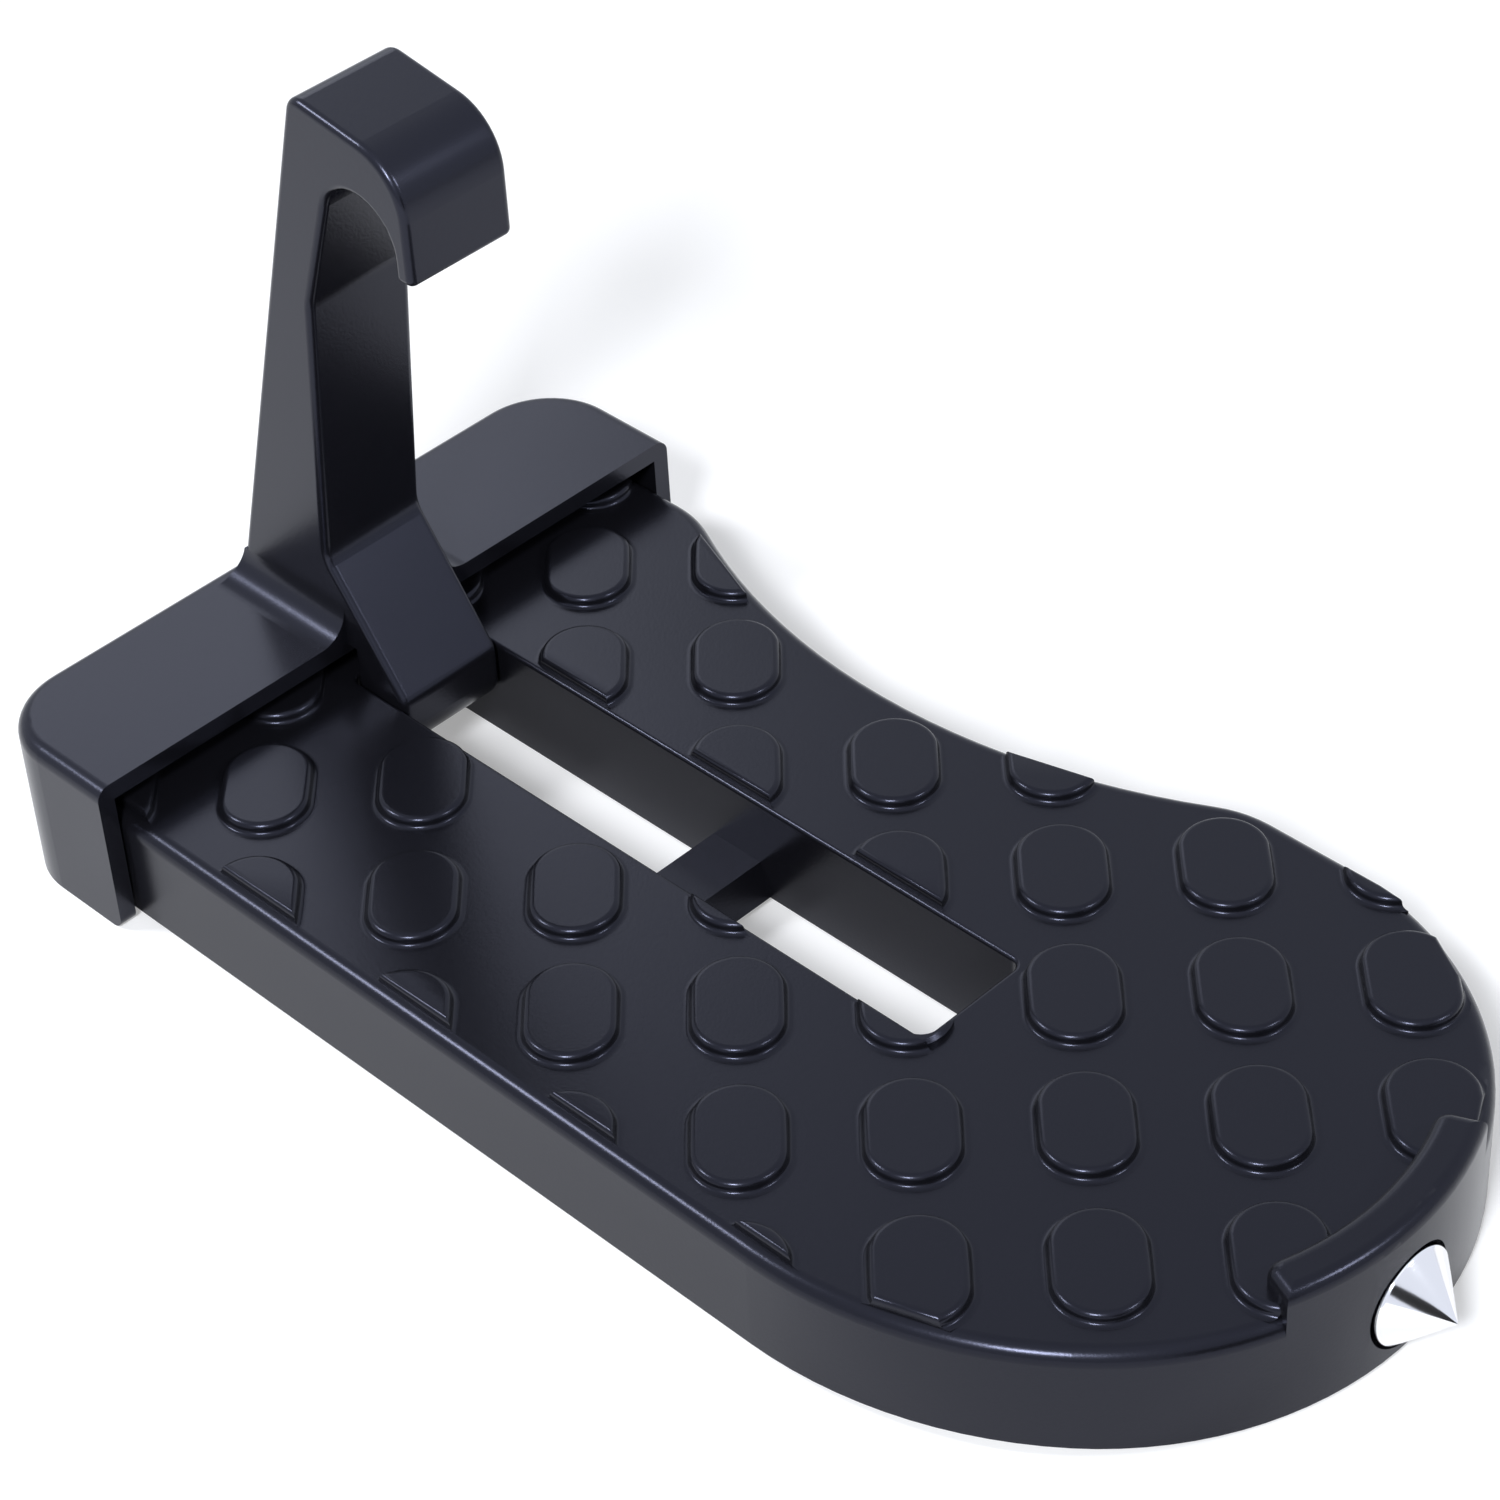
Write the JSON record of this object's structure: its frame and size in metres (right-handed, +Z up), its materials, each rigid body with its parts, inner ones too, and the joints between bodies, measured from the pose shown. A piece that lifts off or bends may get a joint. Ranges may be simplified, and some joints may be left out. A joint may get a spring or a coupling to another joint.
{
  "type": "car door latch step",
  "caption": "Folding foot step that hooks onto a car door striker, with a treaded slotted pedal, a hook arm on a heel cap, a hinge pin and a pointed window breaker at the toe",
  "frame": {"origin": "centre of the overall box, on the surface that the step stands on, with the hook arm upright", "axes": "+X across the step along the hinge axis, +Y from heel to toe, +Z up out of the tread"},
  "size_m": [0.1004, 0.1992, 0.106],
  "materials": {
    "pedal_paint": "satin black paint on die-cast aluminium",
    "bracket_paint": "satin black paint on die-cast aluminium",
    "pin_steel": "ground",
    "tip_steel": "polished",
    "pad_rubber": "matt"
  },
  "bodies": {
    "pedal_body": {"pedal": "pedal_paint", "hinge_pin": "pin_steel", "breaker_tip": "tip_steel"},
    "hook_body": {"hook_bracket": "bracket_paint", "back_pad": "pad_rubber"}
  },
  "joints": [
    {"name": "fold", "type": "hinge", "parent": "pedal_body", "child": "hook_body", "pos_m": [0, -0.06746, 0.0128], "axis": [-1, 0, 0], "range_deg": [0, 90]}
  ]
}
